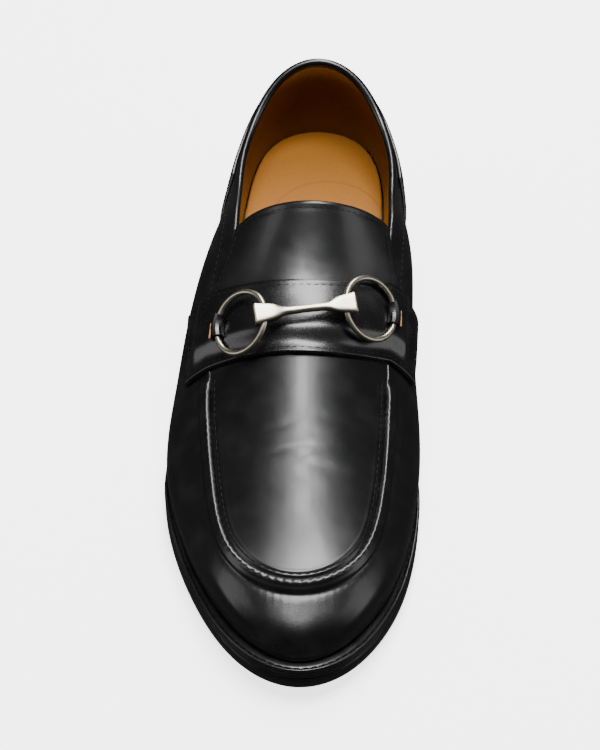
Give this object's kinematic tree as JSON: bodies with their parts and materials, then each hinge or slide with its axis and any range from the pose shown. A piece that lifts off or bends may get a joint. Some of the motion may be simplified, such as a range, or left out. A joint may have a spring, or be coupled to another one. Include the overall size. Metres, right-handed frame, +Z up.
{
  "type": "bit loafer",
  "caption": "Right slip-on shoe with a raised apron seam, a strap over the instep carrying a metal snaffle bit, a welted sole and a low heel.",
  "frame": {"origin": "on the floor, under the middle of the shoe's box", "axes": "+Z up, +Y towards the heel, -Y towards the toe, +X towards the medial side of this right shoe"},
  "size_m": [0.1076, 0.2982, 0.0903],
  "materials": {
    "calf": "polished box calf",
    "lining": "matt vegetable-tanned",
    "sole_edge": "waxed black edge",
    "rubber": "matt",
    "nickel": "satin nickel plate"
  },
  "bodies": {
    "shoe": {"outsole": "sole_edge", "welt": "sole_edge", "heel_block": "sole_edge", "top_lift": "rubber", "insole": "lining", "upper": "calf", "heel_counter": "calf", "tongue": "calf", "strap": "calf", "tab_lateral": "calf", "tab_medial": "calf", "bar": "nickel"},
    "ring_lateral": {"ring_lateral": "nickel"},
    "ring_medial": {"ring_medial": "nickel"}
  },
  "joints": [
    {"name": "ring_lateral_spin", "type": "hinge", "parent": "shoe", "child": "ring_lateral", "pos_m": [-0.02291, -0.00299, 0.06567], "axis": [-0.6291, -0.3039, 0.7155], "continuous": true},
    {"name": "ring_medial_spin", "type": "hinge", "parent": "shoe", "child": "ring_medial", "pos_m": [0.0313, 0.00681, 0.06551], "axis": [0.6311, -0.3032, 0.714], "continuous": true}
  ]
}
